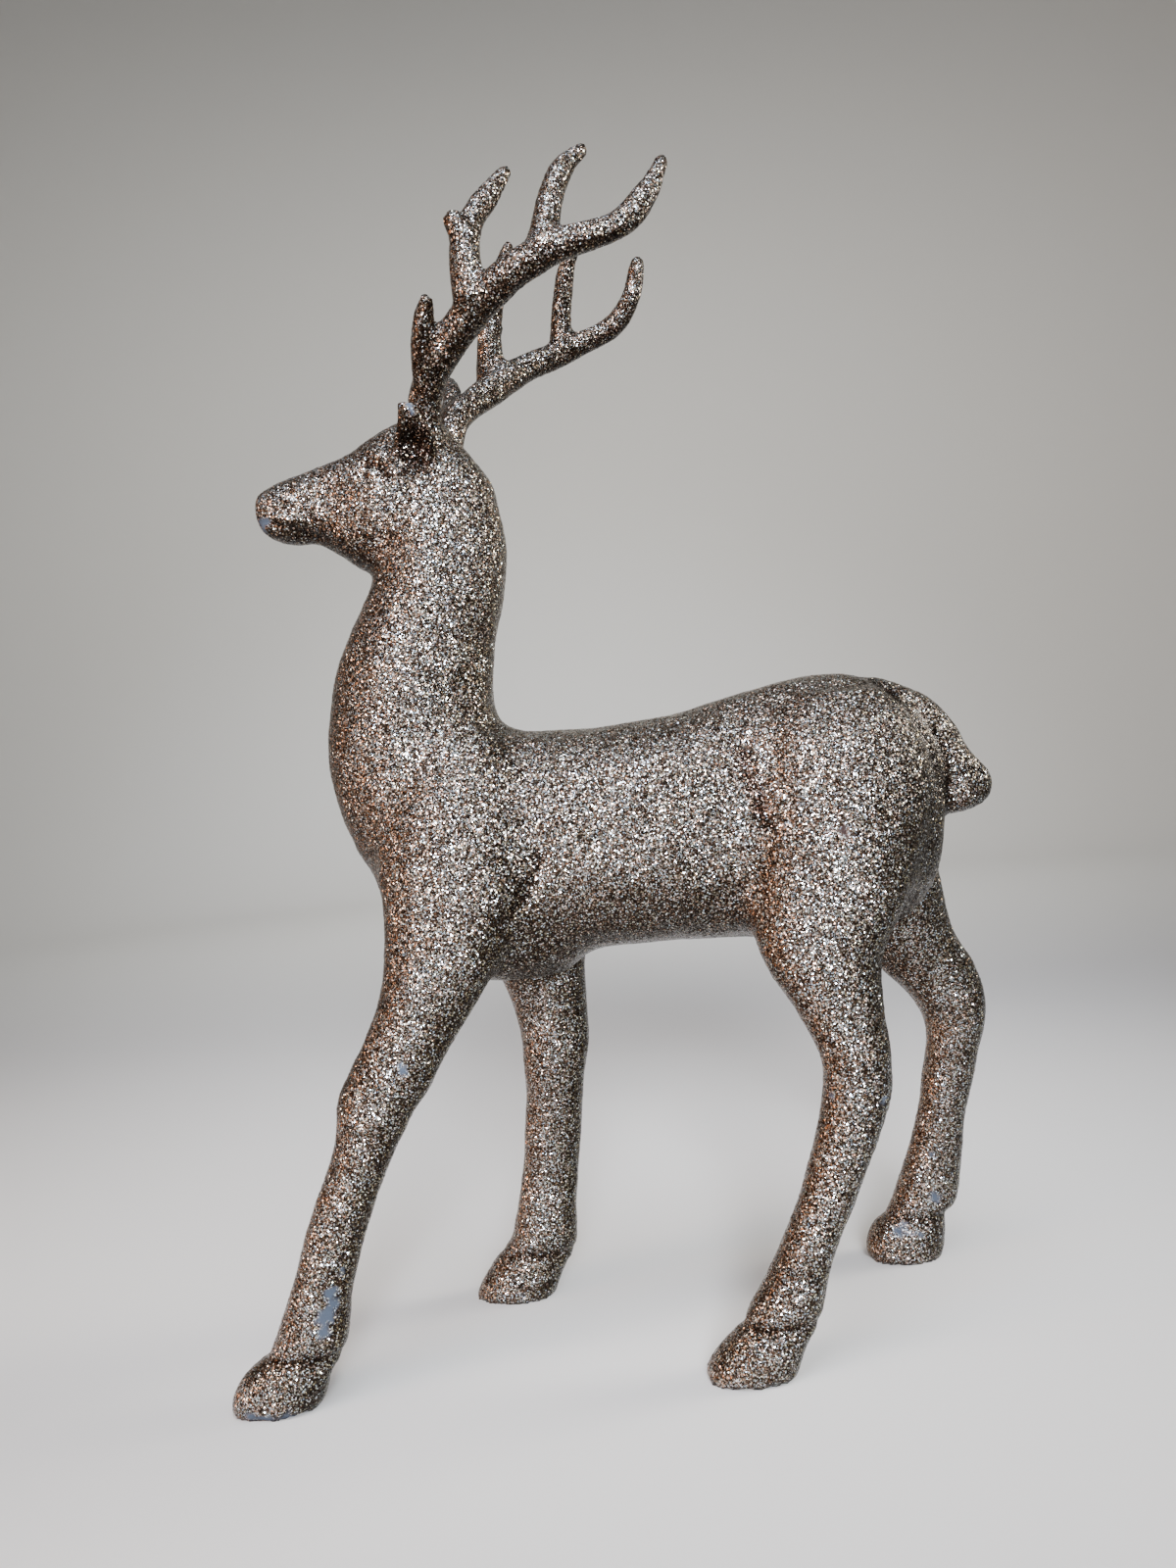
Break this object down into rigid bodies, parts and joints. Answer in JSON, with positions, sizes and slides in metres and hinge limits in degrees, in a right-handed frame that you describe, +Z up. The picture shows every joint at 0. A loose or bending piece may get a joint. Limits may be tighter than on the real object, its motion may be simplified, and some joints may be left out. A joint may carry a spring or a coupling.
{
  "type": "reindeer statue",
  "caption": "Standing reindeer figure with raised head, branching antlers and legs in stride, glitter-coated moulded plastic, for shelf or floor display.",
  "frame": {"origin": "middle of the figure's outline, on the plane that its four hooves stand on", "axes": "+Z up, the nose points along -Y, the animal's left side is +X"},
  "size_m": [0.121, 0.328, 0.4789],
  "materials": {
    "glitter": "champagne gold glitter flakes glued all over pale grey moulded plastic"
  },
  "bodies": {
    "root": {"reindeer": "glitter"}
  },
  "joints": []
}
